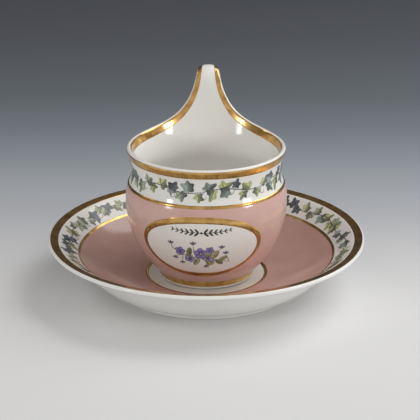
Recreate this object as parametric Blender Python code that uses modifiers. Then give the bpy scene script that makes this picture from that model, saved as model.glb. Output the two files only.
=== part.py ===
"""Friendship cup: a porcelain cup with a tall raised lip, standing in its deep saucer.

Metres, +Z up. The origin is the middle of the saucer's foot ring, on the table.
The painted front of the cup faces -Y and the handle is at +Y.
"""
import math

import bmesh
import bpy
from mathutils import Vector
from mathutils.geometry import interpolate_bezier

# Gaps: the cup stands loose in the saucer, and luted pieces keep a hairline joint
SEAT_GAP = 0.0003
JOINT_GAP = 0.0003

# Saucer dish, heights above the table
SAUCER_RADIUS = 0.0809
SAUCER_HEIGHT = 0.0270
SAUCER_WALL = 0.0020
SAUCER_LIP_TILT = math.radians(12)
SAUCER_LIP_REACH = 0.0034
BEND_RADIUS = 0.0750
BEND_HEIGHT = 0.0258
BEND_TILT = math.radians(33)
BEND_REACH_IN = 0.0120
BEND_REACH_OUT = 0.0012
WELL_RADIUS = 0.0310
WELL_HEIGHT = 0.0060
WELL_STEP = 0.0004
WELL_STEP_WIDTH = 0.0010
FLOOR_TILT = math.radians(2)
FLOOR_REACH = 0.0240
BASE_RADIUS = 0.0500
BASE_REACH = 0.0100
BASE_TILT = math.radians(14)

# Saucer foot ring
SAUCER_RING_RADIUS = 0.0478
SAUCER_RING_WIDTH = 0.0032
SAUCER_RING_HEIGHT = 0.0028
SAUCER_RING_FLARE = 0.0006
RING_ROUND = 0.0005

# Cup foot ring, heights above the well that the cup stands in
CUP_FOOT_RADIUS = 0.0244
CUP_FOOT_WIDTH = 0.0050
CUP_FOOT_HEIGHT = 0.0039
CUP_FOOT_FLARE = 0.0006

# Cup bowl, heights above the underside of its foot
CUP_WALL = 0.0024
BOWL_BASE_RADIUS = 0.0254
BOWL_BASE_TILT = math.radians(42)
BOWL_BASE_REACH = 0.0105
BELLY_RADIUS = 0.0410
BELLY_HEIGHT = 0.0408
BELLY_REACH_DOWN = 0.0170
BELLY_REACH_UP = 0.0100
NECK_RADIUS = 0.0379
NECK_HEIGHT = 0.0558
NECK_REACH_DOWN = 0.0065
NECK_REACH_UP = 0.0050
RIM_RADIUS = 0.0404
RIM_HEIGHT = 0.0680
RIM_FLARE = math.radians(18)
RIM_REACH = 0.0042
RIM_ROUND = 0.0008

# Raised lip at the back: its run above the rim, seen from the side
LIP_WALL = 0.0032
LIP_LEAN = 0.0045
LIP_UPRIGHT = 0.0180
LIP_REACH = 0.0060
LIP_SHOULDER_TILT = math.radians(11)
LIP_ROLL_REACH = 0.0084
LIP_TIP_OUT = 0.0172
LIP_TIP_RISE = 0.0218
LIP_TIP_SLOPE = math.radians(-42)
LIP_TIP_REACH = 0.0078

# Raised lip at the back: its outline from the rim to the tip, half of it
LIP_SWEEP_WIDTH = 0.0180
LIP_WAIST_WIDTH = 0.0070
LIP_WAIST_RISE = 0.0070
LIP_TIP_WIDTH = 0.0046
LIP_CROWN = 0.0010
LIP_EDGE_STRIP = 0.0020

# Strap handle: its back stands off behind the rim, a little below it
HANDLE_START_REACH = 0.0095
HANDLE_STAND_OFF = 0.0249
HANDLE_BACK_DROP = 0.0020
HANDLE_BACK_REACH_UP = 0.0110
HANDLE_BACK_REACH_DOWN = 0.0170
HANDLE_ROOT_HEIGHT = 0.0300
HANDLE_ROOT_REACH = 0.0160
STRAP_WIDTH = 0.0086
STRAP_THICKNESS = 0.0046
STRAP_ROOT_WIDTH = 0.0108
STRAP_ROOT_THICKNESS = 0.0052
STRAP_SQUARENESS = 2.6

# How finely the round forms are stepped
TURN_STEPS = 64
CURVE_STEPS = 8
PATH_STEPS = 60
SIDE_COLUMNS = 17
RIM_COLUMNS = 12
TIP_COLUMNS = 3
BASE_ROWS = 2
BELLY_ROWS = 9
LIP_ROWS = 16
LIP_ROW_CROWDING = 1.5
STRAP_RINGS = 15
STRAP_SIDES = 16
MERGE = 0.00001
SHARP_ANGLE = math.radians(40)
EDGE_ANGLE = math.radians(60)
LIP_TURNS = 4

# Colours and gloss of the pieces
WHITE_PORCELAIN = (0.83, 0.81, 0.77, 1.0)
ROSE_GLAZE = (0.58, 0.36, 0.33, 1.0)
GILDING = (0.60, 0.38, 0.14, 1.0)
GLAZE_ROUGHNESS = 0.12
BARE_ROUGHNESS = 0.25
GILDING_ROUGHNESS = 0.22


def direction(tilt):
    """Unit vector in the turning plane, tilted up from the outward direction."""
    return Vector((math.cos(tilt), 0.0, math.sin(tilt)))


def spot(radius, height):
    """A point of a turned outline."""
    return Vector((radius, 0.0, height))


def bezier(start, start_reach, end_reach, end, count):
    """A curve from start to end that leaves and arrives along the two reaches."""
    return interpolate_bezier(start, start + start_reach, end - end_reach, end, count)


def chain(*runs):
    """Joins runs of points that share their end points."""
    points = list(runs[0])
    for run in runs[1:]:
        points.extend(run[1:])
    return points


def make_material(name, colour, roughness, metallic):
    material = bpy.data.materials.new(name)
    material.use_nodes = True
    shader = material.node_tree.nodes["Principled BSDF"]
    shader.inputs["Base Color"].default_value = colour
    shader.inputs["Roughness"].default_value = roughness
    shader.inputs["Metallic"].default_value = metallic
    material.diffuse_color = colour
    return material


def place(name, mesh, material, parent, collection):
    """Makes the object of one piece, on the empty that carries it."""
    piece = bpy.data.objects.new(name, mesh)
    mesh.materials.append(material)
    mesh.shade_smooth()
    mesh.set_sharp_from_angle(angle=SHARP_ANGLE)
    piece.parent = parent
    collection.objects.link(piece)
    return piece


def turned(name, outline, closed, material, parent, collection):
    """Turns an outline that runs down its outer side about the Z axis."""
    mesh = bpy.data.meshes.new(name)
    edges = [(index, index + 1) for index in range(len(outline) - 1)]
    if closed:
        edges.append((len(outline) - 1, 0))
    mesh.from_pydata(outline, edges, [])
    piece = place(name, mesh, material, parent, collection)
    screw = piece.modifiers.new("Turn", "SCREW")
    screw.axis = "Z"
    screw.steps = TURN_STEPS
    screw.render_steps = TURN_STEPS
    screw.use_merge_vertices = True
    screw.merge_threshold = MERGE
    screw.use_smooth_shade = True
    return piece


def ring_outline(radius, width, height, flare):
    """A foot ring's section: flat on top, a little wider there, with rounded lower edges."""
    inner = radius - width
    return [
        spot(inner - flare, height),
        spot(radius + flare, height),
        spot(radius, RING_ROUND),
        spot(radius - RING_ROUND, 0.0),
        spot(inner + RING_ROUND, 0.0),
        spot(inner, RING_ROUND),
    ]


def saucer_outline():
    """The dish's section, from the middle of the well over the lip to the underside."""
    lip_tilt = direction(SAUCER_LIP_TILT)
    lip_across = direction(SAUCER_LIP_TILT - math.pi / 2)
    lip_round = SAUCER_WALL / 2
    lip_middle = spot(SAUCER_RADIUS - lip_round, SAUCER_HEIGHT - lip_round)
    lip_top = lip_middle - lip_across * lip_round
    lip_under = lip_middle + lip_across * lip_round

    well_edge = spot(WELL_RADIUS - WELL_STEP_WIDTH, WELL_HEIGHT)
    floor_edge = spot(WELL_RADIUS, WELL_HEIGHT + WELL_STEP)
    bend = spot(BEND_RADIUS, BEND_HEIGHT)
    bend_tilt = direction(BEND_TILT)
    bend_under = bend + direction(BEND_TILT - math.pi / 2) * SAUCER_WALL
    upper = chain(
        bezier(floor_edge, direction(FLOOR_TILT) * FLOOR_REACH,
               bend_tilt * BEND_REACH_IN, bend, 2 * CURVE_STEPS),
        bezier(bend, bend_tilt * BEND_REACH_OUT,
               lip_tilt * SAUCER_LIP_REACH, lip_top, CURVE_STEPS),
    )
    lip = []
    for step in range(1, LIP_TURNS):
        turn = math.pi / 2 - math.pi * step / LIP_TURNS + SAUCER_LIP_TILT
        lip.append(lip_middle + direction(turn) * lip_round)
    base_height = SAUCER_RING_HEIGHT + JOINT_GAP
    under = chain(
        bezier(lip_under, -lip_tilt * SAUCER_LIP_REACH,
               -bend_tilt * BEND_REACH_OUT, bend_under, CURVE_STEPS),
        bezier(bend_under, -bend_tilt * BEND_REACH_IN, -direction(BASE_TILT) * BASE_REACH,
               spot(BASE_RADIUS, base_height), 2 * CURVE_STEPS),
    )
    middle_top = [spot(0.0, WELL_HEIGHT), well_edge]
    return middle_top + upper + lip + under + [spot(0.0, base_height)]


def cup_path():
    """The cup wall's outer side, from under its middle up the rear to the lip's tip.

    Returns the points, with the distances along them of the base's edge, neck and rim.
    """
    up = Vector((0.0, 0.0, 1.0))
    base_height = CUP_FOOT_HEIGHT + JOINT_GAP
    centre = spot(0.0, base_height)
    base_edge = spot(BOWL_BASE_RADIUS, base_height)
    belly = spot(BELLY_RADIUS, BELLY_HEIGHT)
    neck = spot(NECK_RADIUS, NECK_HEIGHT)
    rim = spot(RIM_RADIUS, RIM_HEIGHT)
    shoulder = spot(RIM_RADIUS + LIP_LEAN, RIM_HEIGHT + LIP_UPRIGHT)
    tip = spot(RIM_RADIUS + LIP_TIP_OUT, RIM_HEIGHT + LIP_TIP_RISE)
    rim_way = direction(math.pi / 2 - RIM_FLARE)
    shoulder_way = direction(math.pi / 2 - LIP_SHOULDER_TILT)
    tip_way = direction(LIP_TIP_SLOPE)

    runs = [
        [centre, base_edge],
        bezier(base_edge, direction(BOWL_BASE_TILT) * BOWL_BASE_REACH,
               up * BELLY_REACH_DOWN, belly, PATH_STEPS),
        bezier(belly, up * BELLY_REACH_UP, up * NECK_REACH_DOWN, neck, PATH_STEPS),
        bezier(neck, up * NECK_REACH_UP, rim_way * RIM_REACH, rim, PATH_STEPS),
        bezier(rim, rim_way * LIP_REACH, shoulder_way * LIP_REACH, shoulder, PATH_STEPS),
        bezier(shoulder, shoulder_way * LIP_ROLL_REACH, tip_way * LIP_TIP_REACH, tip, PATH_STEPS),
    ]
    lengths = [sum((b - a).length for a, b in zip(run, run[1:])) for run in runs]
    base_length = lengths[0]
    neck_length = base_length + lengths[1] + lengths[2]
    rim_length = neck_length + lengths[3]
    return chain(*runs), base_length, neck_length, rim_length


class Path:
    """A line of points that can be read at any distance along it."""

    def __init__(self, points):
        self.points = points
        self.marks = [0.0]
        for before, after in zip(points, points[1:]):
            self.marks.append(self.marks[-1] + (after - before).length)
        self.length = self.marks[-1]

    def at(self, distance):
        index = 1
        while index < len(self.marks) - 1 and self.marks[index] < distance:
            index += 1
        before, after = self.marks[index - 1], self.marks[index]
        share = (distance - before) / (after - before)
        return self.points[index - 1].lerp(self.points[index], share)

    def front(self, distance):
        """The direction out of the wall's inner side."""
        way = self.at(distance + LIP_EDGE_STRIP / 2) - self.at(distance - LIP_EDGE_STRIP / 2)
        return Vector((-way.z, 0.0, way.x)).normalized()

    def height_to_point(self, height):
        """The first place on the path at this height, and the way the path runs there."""
        for before, after in zip(self.points[1:], self.points[2:]):
            if before.z <= height < after.z:
                share = (height - before.z) / (after.z - before.z)
                return before.lerp(after, share), (after - before).normalized()
        raise ValueError("the path doesn't reach that height")


def lip_edge(path, rim_length):
    """Half of the cup's edge, from the lip's tip down its side and round the rim to the front.

    Each entry is an angle from the rear and a distance along the wall's path.
    """
    tip_inner = LIP_TIP_WIDTH - LIP_EDGE_STRIP
    tip = [Vector((tip_inner * step / TIP_COLUMNS, path.length)) for step in range(TIP_COLUMNS)]
    side = interpolate_bezier(
        Vector((LIP_TIP_WIDTH, path.length)),
        Vector((LIP_WAIST_WIDTH, rim_length + LIP_WAIST_RISE)),
        Vector((LIP_SWEEP_WIDTH, rim_length)),
        Vector((RIM_RADIUS, rim_length)),
        2 * PATH_STEPS,
    )

    def unrolled(point):
        sine = min(1.0, point.x / path.at(point.y).x)
        return Vector((math.asin(sine) * RIM_RADIUS, point.y))

    flat = [unrolled(point) for point in tip]
    flat += spread([unrolled(point) for point in side], SIDE_COLUMNS)
    edge = [(point.x / RIM_RADIUS, point.y) for point in flat]
    for step in range(1, RIM_COLUMNS + 1):
        edge.append((math.pi / 2 * (1 + step / RIM_COLUMNS), rim_length))
    return edge


def spread(points, count):
    """The same line with its points evenly spaced."""
    lengths = [0.0]
    for before, after in zip(points, points[1:]):
        lengths.append(lengths[-1] + (after - before).length)
    spaced = []
    for step in range(count + 1):
        wanted = lengths[-1] * step / count
        index = 1
        while index < len(lengths) - 1 and lengths[index] < wanted:
            index += 1
        share = (wanted - lengths[index - 1]) / (lengths[index] - lengths[index - 1])
        spaced.append(points[index - 1].lerp(points[index], share))
    return spaced


def columns_to_edge(path, edge):
    """The wall's columns: each rises at one angle to a strip's width from the edge."""
    columns = []
    for index, (angle, along) in enumerate(edge):
        angle_before, along_before = edge[max(index - 1, 0)]
        angle_after, along_after = edge[min(index + 1, len(edge) - 1)]
        radius = path.at(along).x
        run = Vector(((angle_after - angle_before) * radius, along_after - along_before))
        if index < TIP_COLUMNS or index == len(edge) - 1:
            run = Vector((1.0, 0.0))
        run.normalize()
        if index == TIP_COLUMNS:
            run = Vector((1.0, -1.0))
        inner_angle = angle + run.y * LIP_EDGE_STRIP / radius
        inner_along = along - run.x * LIP_EDGE_STRIP
        columns.append((inner_angle, inner_along, angle, along))
    return columns


def row_distances(inner_along, base_length, neck_length):
    """Distances along the path of one column's rows, below the edge strip."""
    rows = [base_length * step / BASE_ROWS for step in range(BASE_ROWS)]
    belly_run = neck_length - base_length
    rows += [base_length + belly_run * step / BELLY_ROWS for step in range(BELLY_ROWS)]
    lip_run = inner_along - neck_length
    for step in range(LIP_ROWS + 1):
        share = 1 - (1 - step / LIP_ROWS) ** LIP_ROW_CROWDING
        rows.append(neck_length + lip_run * share)
    return rows


def cup_bowl(path, base_length, neck_length, rim_length, material, parent, collection):
    """The bowl and its raised lip: half a sheet wrapped round the axis, mirrored and thickened."""
    columns = columns_to_edge(path, lip_edge(path, rim_length))
    row_count = BASE_ROWS + BELLY_ROWS + LIP_ROWS + 1
    sheet = bmesh.new()
    bmesh.ops.create_grid(sheet, x_segments=len(columns) - 1, y_segments=row_count, size=0.5)
    deform = sheet.verts.layers.deform.new()
    for vert in sheet.verts:
        column = columns[round((0.5 - vert.co.x) * (len(columns) - 1))]
        row = round((vert.co.y + 0.5) * row_count)
        inner_angle, inner_along, edge_angle, edge_along = column
        if row == row_count:
            angle, along = edge_angle, edge_along
        else:
            angle, along = inner_angle, row_distances(inner_along, base_length, neck_length)[row]
        rise = max(0.0, (along - rim_length) / (path.length - rim_length))
        point = path.at(along)
        width = point.x * math.sin(angle)
        drop = LIP_CROWN * (rise * min(1.0, width / LIP_TIP_WIDTH)) ** 2
        point = point - path.front(along) * drop
        vert.co = (width, point.x * math.cos(angle), point.z)
        vert[deform][0] = rise
    bmesh.ops.remove_doubles(sheet, verts=sheet.verts, dist=MERGE)
    mesh = bpy.data.meshes.new("cup_bowl")
    sheet.to_mesh(mesh)
    sheet.free()

    bowl = place("cup_bowl", mesh, material, parent, collection)
    bowl.vertex_groups.new(name="lip")
    mirror = bowl.modifiers.new("Other half", "MIRROR")
    mirror.merge_threshold = MERGE
    wall = bowl.modifiers.new("Wall", "SOLIDIFY")
    wall.thickness = LIP_WALL
    wall.vertex_group = "lip"
    wall.thickness_vertex_group = CUP_WALL / LIP_WALL
    wall.offset = -1.0
    wall.use_even_offset = True
    lip_round = bowl.modifiers.new("Rounded edge", "BEVEL")
    lip_round.width = RIM_ROUND
    lip_round.segments = 2
    lip_round.limit_method = "ANGLE"
    lip_round.angle_limit = EDGE_ANGLE
    return bowl


def handle_line(path):
    """The strap's middle line, from the lip's tip over the back to the belly."""
    tip = path.points[-1]
    tip_way = direction(LIP_TIP_SLOPE)
    tip_across = Vector((-tip_way.z, 0.0, tip_way.x))
    start = tip + tip_across * (LIP_WALL / 2) + tip_way * JOINT_GAP
    back = spot(RIM_RADIUS + HANDLE_STAND_OFF, RIM_HEIGHT - HANDLE_BACK_DROP)
    down = Vector((0.0, 0.0, -1.0))
    belly, belly_way = path.height_to_point(HANDLE_ROOT_HEIGHT)
    belly_out = Vector((belly_way.z, 0.0, -belly_way.x))
    root = belly + belly_out * JOINT_GAP
    upper = bezier(start, tip_way * HANDLE_START_REACH, down * HANDLE_BACK_REACH_UP, back,
                   PATH_STEPS)
    lower = bezier(back, down * HANDLE_BACK_REACH_DOWN, -belly_out * HANDLE_ROOT_REACH, root,
                   PATH_STEPS)
    return chain(spread(upper, STRAP_RINGS), spread(lower, STRAP_RINGS))


def strap_size(share):
    """Half the strap's width and thickness, at a share of its length."""
    tip = (LIP_TIP_WIDTH, LIP_WALL / 2)
    middle = (STRAP_WIDTH / 2, STRAP_THICKNESS / 2)
    root = (STRAP_ROOT_WIDTH / 2, STRAP_ROOT_THICKNESS / 2)
    near, far, local = (tip, middle, share * 2) if share < 0.5 else (middle, root, share * 2 - 1)
    ease = local * local * (3 - 2 * local)
    return near[0] + (far[0] - near[0]) * ease, near[1] + (far[1] - near[1]) * ease


def rounded(value):
    """Squares off a circle's sine or cosine, for a strap's section."""
    return math.copysign(abs(value) ** (2 / STRAP_SQUARENESS), value)


def cup_handle(path, material, parent, collection):
    """The strap: one section after another along its line, joined into a closed skin."""
    line = handle_line(path)
    strap = bmesh.new()
    rings = []
    for index, centre in enumerate(line):
        before = line[max(index - 1, 0)]
        after = line[min(index + 1, len(line) - 1)]
        way = (after - before).normalized()
        across = Vector((-way.z, 0.0, way.x))
        width, thickness = strap_size(index / (len(line) - 1))
        ring = []
        for side in range(STRAP_SIDES):
            turn = 2 * math.pi * side / STRAP_SIDES
            point = centre + across * thickness * rounded(math.sin(turn))
            ring.append(strap.verts.new((width * rounded(math.cos(turn)), point.x, point.z)))
        rings.append(ring)
    for near, far in zip(rings, rings[1:]):
        for side in range(STRAP_SIDES):
            other = (side + 1) % STRAP_SIDES
            strap.faces.new((near[side], near[other], far[other], far[side]))
    strap.faces.new(rings[0])
    strap.faces.new(rings[-1])
    bmesh.ops.recalc_face_normals(strap, faces=strap.faces)
    mesh = bpy.data.meshes.new("cup_handle")
    strap.to_mesh(mesh)
    strap.free()
    return place("cup_handle", mesh, material, parent, collection)


def build():
    for scene_object in list(bpy.data.objects):
        bpy.data.objects.remove(scene_object, do_unlink=True)
    collection = bpy.data.collections.new("friendship_cup")
    bpy.context.scene.collection.children.link(collection)

    saucer = bpy.data.objects.new("saucer", None)
    collection.objects.link(saucer)
    cup = bpy.data.objects.new("cup", None)
    cup.location.z = WELL_HEIGHT + SEAT_GAP
    collection.objects.link(cup)

    turned("saucer_dish", saucer_outline(), False,
           make_material("saucer_glaze", ROSE_GLAZE, GLAZE_ROUGHNESS, 0.0), saucer, collection)
    saucer_ring = ring_outline(SAUCER_RING_RADIUS, SAUCER_RING_WIDTH, SAUCER_RING_HEIGHT,
                               SAUCER_RING_FLARE)
    turned("saucer_foot_ring", saucer_ring, True,
           make_material("saucer_ring_porcelain", WHITE_PORCELAIN, BARE_ROUGHNESS, 0.0),
           saucer, collection)

    cup_ring = ring_outline(CUP_FOOT_RADIUS, CUP_FOOT_WIDTH, CUP_FOOT_HEIGHT, CUP_FOOT_FLARE)
    turned("cup_foot_ring", cup_ring, True,
           make_material("cup_foot_gilding", GILDING, GILDING_ROUGHNESS, 1.0), cup, collection)
    points, base_length, neck_length, rim_length = cup_path()
    path = Path(points)
    cup_bowl(path, base_length, neck_length, rim_length,
             make_material("cup_glaze", ROSE_GLAZE, GLAZE_ROUGHNESS, 0.0), cup, collection)
    cup_handle(path, make_material("handle_porcelain", WHITE_PORCELAIN, GLAZE_ROUGHNESS, 0.0),
               cup, collection)


build()
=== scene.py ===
# %% [markdown]
# # A porcelain friendship cup in its saucer
#
# The cup stands loose in the well of a deep saucer. The frame holds both as plain solids at their real
# size. This lesson gives them their fired look: thin smooth porcelain, a rose ground, gilding, a painted
# ivy garland and a small posy. Everything is in metres, +Z up, with the painted front towards -Y.

# %% Load the frame
import bisect
import math
import random

import bmesh
import bpy
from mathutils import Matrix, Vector
from mathutils.geometry import interpolate_bezier


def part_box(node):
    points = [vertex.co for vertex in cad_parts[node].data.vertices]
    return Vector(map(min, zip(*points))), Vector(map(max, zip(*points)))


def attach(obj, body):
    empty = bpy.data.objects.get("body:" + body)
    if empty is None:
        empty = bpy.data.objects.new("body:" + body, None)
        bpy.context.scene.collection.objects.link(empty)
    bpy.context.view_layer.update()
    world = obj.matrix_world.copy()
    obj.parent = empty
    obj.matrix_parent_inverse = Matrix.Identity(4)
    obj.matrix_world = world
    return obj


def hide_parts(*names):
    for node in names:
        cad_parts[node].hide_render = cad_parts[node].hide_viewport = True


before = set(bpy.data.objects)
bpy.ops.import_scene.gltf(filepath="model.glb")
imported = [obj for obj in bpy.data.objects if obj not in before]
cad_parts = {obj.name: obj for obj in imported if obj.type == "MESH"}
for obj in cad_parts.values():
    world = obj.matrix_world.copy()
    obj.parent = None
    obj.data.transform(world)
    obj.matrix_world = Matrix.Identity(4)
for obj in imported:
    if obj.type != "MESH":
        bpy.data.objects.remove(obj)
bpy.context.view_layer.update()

seat_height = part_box("cup_foot_ring")[0].z

# %% [markdown]
# ## How a finish is built
#
# From far away glaze, gold and enamel each look the same all over, but up close none of them is one flat
# colour. Each finish here starts from a Principled shader, and soft noise on Object coordinates moves its
# colour, gloss and surface a little. Object coordinates are used because they are real metres on the
# piece, so a mottle of 8 mm is 8 mm everywhere. A colour Mix node's sockets share their names, so they
# are found by number.

# %% Helpers for finishes
NOISE_LOW = 0.3
NOISE_HIGH = 0.7
MIX_SHARE = 0
MIX_FIRST = 6
MIX_SECOND = 7
MIX_RESULT = 2
RANGE_SOCKETS = ("From Min", "From Max", "To Min", "To Max")


def tint(red, green, blue):
    """A colour written as on screen, 0 to 255, in the linear numbers that shaders take."""
    def linear(value):
        share = value / 255
        return share / 12.92 if share <= 0.04045 else ((share + 0.055) / 1.055) ** 2.4
    return (linear(red), linear(green), linear(blue), 1.0)


def carried_over(tree, value, low, high, new_low, new_high):
    """A value of a node tree, carried from one range over to another."""
    spread = tree.nodes.new("ShaderNodeMapRange")
    for socket, number in zip(RANGE_SOCKETS, (low, high, new_low, new_high)):
        spread.inputs[socket].default_value = number
    tree.links.new(value, spread.inputs["Value"])
    return spread.outputs["Result"]


class Finish:
    """A material with its Principled shader and the patterns that feed it."""

    def __init__(self, name, roughness, metallic=0.0):
        self.material = bpy.data.materials.new(name)
        self.material.use_nodes = True
        self.tree = self.material.node_tree
        self.nodes = self.tree.nodes
        self.links = self.tree.links
        self.shader = self.nodes["Principled BSDF"]
        self.shader.inputs["Roughness"].default_value = roughness
        self.shader.inputs["Metallic"].default_value = metallic
        self.place = self.nodes.new("ShaderNodeTexCoord")

    def noise(self, patch, detail):
        """Soft noise with patches of about this size in metres."""
        noise = self.nodes.new("ShaderNodeTexNoise")
        noise.inputs["Scale"].default_value = 1 / patch
        noise.inputs["Detail"].default_value = detail
        self.links.new(self.place.outputs["Object"], noise.inputs["Vector"])
        return noise.outputs["Fac"]

    def spread(self, patch, detail, low, high):
        """Soft noise, spread from a low to a high value."""
        return carried_over(self.tree, self.noise(patch, detail), NOISE_LOW, NOISE_HIGH, low, high)

    def colour(self, source):
        self.links.new(source, self.shader.inputs["Base Color"])

    def mottle(self, first, second, patch, detail, most=1.0, blend="MIX"):
        """Mixes patches of a second colour, up to a share of most, into a first colour or pattern."""
        mix = self.nodes.new("ShaderNodeMix")
        mix.data_type = "RGBA"
        mix.blend_type = blend
        self.links.new(self.spread(patch, detail, 0.0, most), mix.inputs[MIX_SHARE])
        if isinstance(first, bpy.types.NodeSocket):
            self.links.new(first, mix.inputs[MIX_FIRST])
        else:
            mix.inputs[MIX_FIRST].default_value = first
        mix.inputs[MIX_SECOND].default_value = second
        self.colour(mix.outputs[MIX_RESULT])

    def gloss(self, low, high, patch, detail):
        """Lets the roughness wander between two values."""
        self.links.new(self.spread(patch, detail, low, high), self.shader.inputs["Roughness"])

    def ripple(self, depth, patch, detail):
        """Lets soft noise raise the surface by this many metres."""
        bump = self.nodes.new("ShaderNodeBump")
        bump.inputs["Distance"].default_value = depth
        self.links.new(self.noise(patch, detail), bump.inputs["Height"])
        self.links.new(bump.outputs["Normal"], self.shader.inputs["Normal"])


# %% [markdown]
# ## White porcelain and bare porcelain
#
# Hard porcelain is a slightly grey white under a clear glaze, which lies in very shallow waves. The
# standing edge of a foot ring is wiped free of glaze before firing, or it would stick to the kiln shelf,
# so it is matt and a little darker.

# %% Porcelain
def white_porcelain():
    finish = Finish("white_porcelain", roughness=0.10)
    warm = tint(238, 236, 231)
    cool = tint(232, 232, 229)
    finish.mottle(warm, cool, patch=0.030, detail=2.0)
    finish.gloss(low=0.07, high=0.14, patch=0.012, detail=3.0)
    finish.ripple(depth=0.00004, patch=0.016, detail=1.0)
    return finish.material


def bare_porcelain():
    finish = Finish("bare_porcelain", roughness=0.6)
    clean = tint(214, 209, 198)
    worn = tint(178, 168, 152)
    finish.mottle(clean, worn, patch=0.004, detail=4.0, most=0.7)
    finish.ripple(depth=0.00002, patch=0.0006, detail=2.0)
    return finish.material


porcelain = white_porcelain()
biscuit = bare_porcelain()
print("made", porcelain.name, "and", biscuit.name)

# %% [markdown]
# ## Rose ground, gold and enamel
#
# The rose colour is a ground laid in one even coat and fired into the glaze. It pools a little, so it is
# mottled in large soft patches, and it lies a shade deeper in the saucer. The gold is brushed on, fired
# and then burnished with agate, which leaves faint patches of brighter and duller gold. Enamel colours
# are painted leaf by leaf, so their colour sits on the mesh itself, in an attribute that the painter
# functions below fill in. A table gives each finish the name of a slot, which is printed for each piece
# that has it as its first finish.

# %% Rose, gold and enamel
def rose_ground(name, deep, pale):
    finish = Finish(name, roughness=0.12)
    finish.mottle(deep, pale, patch=0.020, detail=3.0)
    finish.gloss(low=0.08, high=0.17, patch=0.010, detail=3.0)
    finish.ripple(depth=0.00004, patch=0.014, detail=1.0)
    return finish.material


def burnished_gold():
    finish = Finish("burnished_gold", roughness=0.2, metallic=1.0)
    bright = tint(228, 186, 118)
    dull = tint(178, 136, 78)
    finish.mottle(bright, dull, patch=0.005, detail=3.0)
    finish.gloss(low=0.11, high=0.24, patch=0.006, detail=3.0)
    finish.ripple(depth=0.000012, patch=0.0030, detail=2.0)
    return finish.material


def painted_enamel():
    finish = Finish("painted_enamel", roughness=0.2)
    paint = finish.nodes.new("ShaderNodeAttribute")
    paint.attribute_name = "paint"
    thick = tint(150, 150, 140)
    finish.mottle(paint.outputs["Color"], thick, patch=0.0011, detail=3.0, most=0.45, blend="MULTIPLY")
    finish.gloss(low=0.15, high=0.30, patch=0.002, detail=2.0)
    return finish.material


cup_pink = rose_ground("cup_rose", tint(206, 166, 158), tint(215, 179, 170))
saucer_pink = rose_ground("saucer_rose", tint(190, 151, 142), tint(199, 163, 154))
gold = burnished_gold()
enamel = painted_enamel()
SLOTS = {
    porcelain.name: "white_glaze",
    cup_pink.name: "rose_glaze",
    saucer_pink.name: "rose_glaze",
    gold.name: "gilding",
    enamel.name: "enamel_painting",
}
print("finishes and their slots:", SLOTS)

# %% [markdown]
# ## Walls as lines
#
# Almost everything on this pair was turned on a wheel, so one line in the turning plane describes a whole
# wall. An Outline keeps that line and can be read at any distance along it, and a Glaze is one side of
# it, on which paint and gold are laid by an angle round the cup and a distance up the wall. Working in
# distances along the wall keeps a leaf the same size wherever it is painted.

# %% Outlines and glazed sides
BLUR = 0.0012
CURVE_POINTS = 80
RADIUS = 0
HEIGHT = 1


def bezier(start, start_reach, end_reach, end, count=CURVE_POINTS):
    """A curve that leaves start and arrives at end along the two reaches."""
    return interpolate_bezier(start, start + start_reach, end - end_reach, end, count)


def toward(tilt, length=1.0):
    """A reach in the turning plane, tilted up from the outward direction."""
    return Vector((math.cos(tilt), math.sin(tilt))) * length


class Outline:
    """A wall's line in the turning plane: each point is a radius and a height."""

    def __init__(self, *runs):
        self.points = list(runs[0])
        for run in runs[1:]:
            self.points += list(run[1:])
        self.marks = [0.0]
        for before, after in zip(self.points, self.points[1:]):
            self.marks.append(self.marks[-1] + (after - before).length)
        self.length = self.marks[-1]

    def at(self, along):
        index = min(max(bisect.bisect(self.marks, along), 1), len(self.marks) - 1)
        before, after = self.marks[index - 1], self.marks[index]
        return self.points[index - 1].lerp(self.points[index], (along - before) / (after - before))

    def out(self, along):
        """The way to the right of the line, out of the wall on the cup, blurred over a short stretch."""
        way = self.at(along + BLUR) - self.at(along - BLUR)
        return Vector((way.y, -way.x)).normalized()

    def reaching(self, wanted, axis):
        """The first distance at which a radius or a height is reached."""
        for index, point in enumerate(self.points[1:], 1):
            before = self.points[index - 1]
            if before[axis] <= wanted <= point[axis] and point[axis] > before[axis]:
                share = (wanted - before[axis]) / (point[axis] - before[axis])
                return self.marks[index - 1] + share * (self.marks[index] - self.marks[index - 1])
        raise ValueError("the outline doesn't reach that far")


class Glaze:
    """One glazed side of a turned wall on a body of the frame."""

    def __init__(self, body, outline, facing, base):
        self.body = body
        self.outline = outline
        self.facing = facing
        self.base = base

    def section(self, along, raised=0.0):
        point = self.outline.at(along) + self.outline.out(along) * (self.facing * raised)
        return Vector((point.x, point.y + self.base))

    def spot(self, angle, along, raised=0.0):
        """A point on the glaze, at an angle from the front towards +X."""
        point = self.section(along, raised)
        return Vector((point.x * math.sin(angle), -point.x * math.cos(angle), point.y))


# %% [markdown]
# ## Turning a piece
#
# A turned piece is its section spun once round the axis. Bands of gold and the rose ground on the saucer
# are turned too: their section follows the wall, stands a hair above the glaze and is sunk a hair into
# it, so that each is a thin closed body and no two surfaces fight for the same place. What can't be
# turned starts as a flat grid, and each of its points is then moved to its place on the wall.

# %% Helpers for pieces
TURN_STEPS = 192
MERGE = 0.0000005
SHARP_ANGLE = math.radians(50)
SINK = 0.00012
BAND_STEPS = 14


def put_in_scene(name, data):
    """An object of the scene for a mesh, a lamp or a camera."""
    thing = bpy.data.objects.new(name, data)
    bpy.context.scene.collection.objects.link(thing)
    return thing


def mesh_object(name, work, finish):
    """Turns a finished bmesh into an object of the scene."""
    mesh = bpy.data.meshes.new(name)
    work.to_mesh(mesh)
    work.free()
    mesh.materials.append(finish)
    return put_in_scene(name, mesh)


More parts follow.
